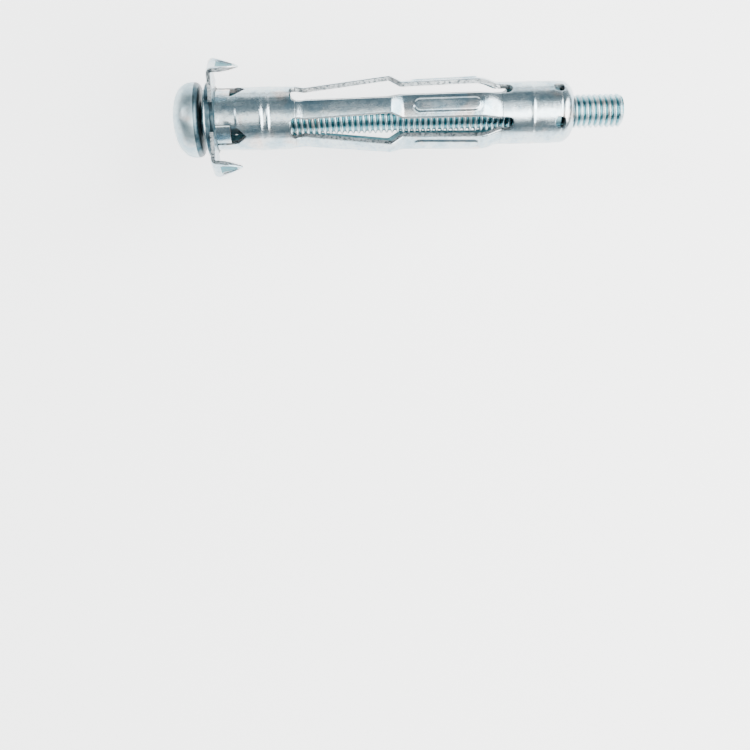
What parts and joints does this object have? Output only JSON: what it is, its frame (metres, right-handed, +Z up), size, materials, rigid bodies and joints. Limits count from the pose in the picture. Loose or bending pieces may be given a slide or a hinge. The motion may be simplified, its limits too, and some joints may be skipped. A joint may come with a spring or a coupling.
{
  "type": "hollow-wall anchor",
  "caption": "Metal cavity-wall anchor: a slotted sleeve with folding legs and a clawed flange, on a pan-head machine screw with a captive nut",
  "frame": {"origin": "on the anchor's axis, in the plane of the claw plate's face that lies on the wall", "axes": "+X along the anchor from the screw head to its tip, into the wall; +Z up, through the middle of the first leg"},
  "size_m": [0.0801, 0.0198, 0.0192],
  "materials": {
    "zinc_sheet": "bright blue-passivated zinc plate on pressed steel sheet, with rough sheared edges",
    "zinc_screw": "bright zinc plate on a cold-headed, rolled-thread screw",
    "zinc_nut": "zinc plate on a turned steel nut"
  },
  "bodies": {
    "front_sleeve": {"barrel": "zinc_sheet", "claw_plate": "zinc_sheet"},
    "front_strip_1": {"front_leg_1": "zinc_sheet"},
    "rear_strip_1": {"rear_leg_1": "zinc_sheet"},
    "front_strip_2": {"front_leg_2": "zinc_sheet"},
    "rear_strip_2": {"rear_leg_2": "zinc_sheet"},
    "front_strip_3": {"front_leg_3": "zinc_sheet"},
    "rear_strip_3": {"rear_leg_3": "zinc_sheet"},
    "front_strip_4": {"front_leg_4": "zinc_sheet"},
    "rear_strip_4": {"rear_leg_4": "zinc_sheet"},
    "front_strip_5": {"front_leg_5": "zinc_sheet"},
    "rear_strip_5": {"rear_leg_5": "zinc_sheet"},
    "tail": {"tail_collar": "zinc_sheet", "nut": "zinc_nut"},
    "turning_screw": {"screw": "zinc_screw"}
  },
  "joints": [
    {"name": "screw_turn", "type": "hinge", "parent": "front_sleeve", "child": "turning_screw", "pos_m": [0, 0, 0], "axis": [1, 0, 0], "continuous": true},
    {"name": "neck_fold_1", "type": "hinge", "parent": "front_sleeve", "child": "front_strip_1", "pos_m": [0.014, 0, 0.0054], "axis": [0, -1, 0], "range_deg": [0, 65]},
    {"name": "crease_fold_1", "type": "hinge", "parent": "front_strip_1", "child": "rear_strip_1", "pos_m": [0.0321, 0, 0.00509], "axis": [0, -1, 0], "range_deg": [-130, 0]},
    {"name": "neck_fold_2", "type": "hinge", "parent": "front_sleeve", "child": "front_strip_2", "pos_m": [0.014, -0.00514, 0.00167], "axis": [0, -0.309, -0.9511], "range_deg": [0, 65]},
    {"name": "crease_fold_2", "type": "hinge", "parent": "front_strip_2", "child": "rear_strip_2", "pos_m": [0.0321, -0.00484, 0.00157], "axis": [0, -0.309, -0.9511], "range_deg": [-130, 0]},
    {"name": "neck_fold_3", "type": "hinge", "parent": "front_sleeve", "child": "front_strip_3", "pos_m": [0.014, -0.00317, -0.00437], "axis": [0, 0.809, -0.5878], "range_deg": [0, 65]},
    {"name": "crease_fold_3", "type": "hinge", "parent": "front_strip_3", "child": "rear_strip_3", "pos_m": [0.0321, -0.00299, -0.00412], "axis": [0, 0.809, -0.5878], "range_deg": [-130, 0]},
    {"name": "neck_fold_4", "type": "hinge", "parent": "front_sleeve", "child": "front_strip_4", "pos_m": [0.014, 0.00317, -0.00437], "axis": [0, 0.809, 0.5878], "range_deg": [0, 65]},
    {"name": "crease_fold_4", "type": "hinge", "parent": "front_strip_4", "child": "rear_strip_4", "pos_m": [0.0321, 0.00299, -0.00412], "axis": [0, 0.809, 0.5878], "range_deg": [-130, 0]},
    {"name": "neck_fold_5", "type": "hinge", "parent": "front_sleeve", "child": "front_strip_5", "pos_m": [0.014, 0.00514, 0.00167], "axis": [0, -0.309, 0.9511], "range_deg": [0, 65]},
    {"name": "crease_fold_5", "type": "hinge", "parent": "front_strip_5", "child": "rear_strip_5", "pos_m": [0.0321, 0.00484, 0.00157], "axis": [0, -0.309, 0.9511], "range_deg": [-130, 0]},
    {"name": "tail_fold", "type": "hinge", "parent": "rear_strip_1", "child": "tail", "pos_m": [0.0502, 0, 0.0054], "axis": [0, -1, 0], "range_deg": [0, 65]}
  ],
  "couplings": [
    {"joint": "crease_fold_1", "follows": "neck_fold_1", "ratio": -2},
    {"joint": "neck_fold_2", "follows": "neck_fold_1", "ratio": 1},
    {"joint": "crease_fold_2", "follows": "neck_fold_1", "ratio": -2},
    {"joint": "neck_fold_3", "follows": "neck_fold_1", "ratio": 1},
    {"joint": "crease_fold_3", "follows": "neck_fold_1", "ratio": -2},
    {"joint": "neck_fold_4", "follows": "neck_fold_1", "ratio": 1},
    {"joint": "crease_fold_4", "follows": "neck_fold_1", "ratio": -2},
    {"joint": "neck_fold_5", "follows": "neck_fold_1", "ratio": 1},
    {"joint": "crease_fold_5", "follows": "neck_fold_1", "ratio": -2},
    {"joint": "tail_fold", "follows": "neck_fold_1", "ratio": 1}
  ]
}
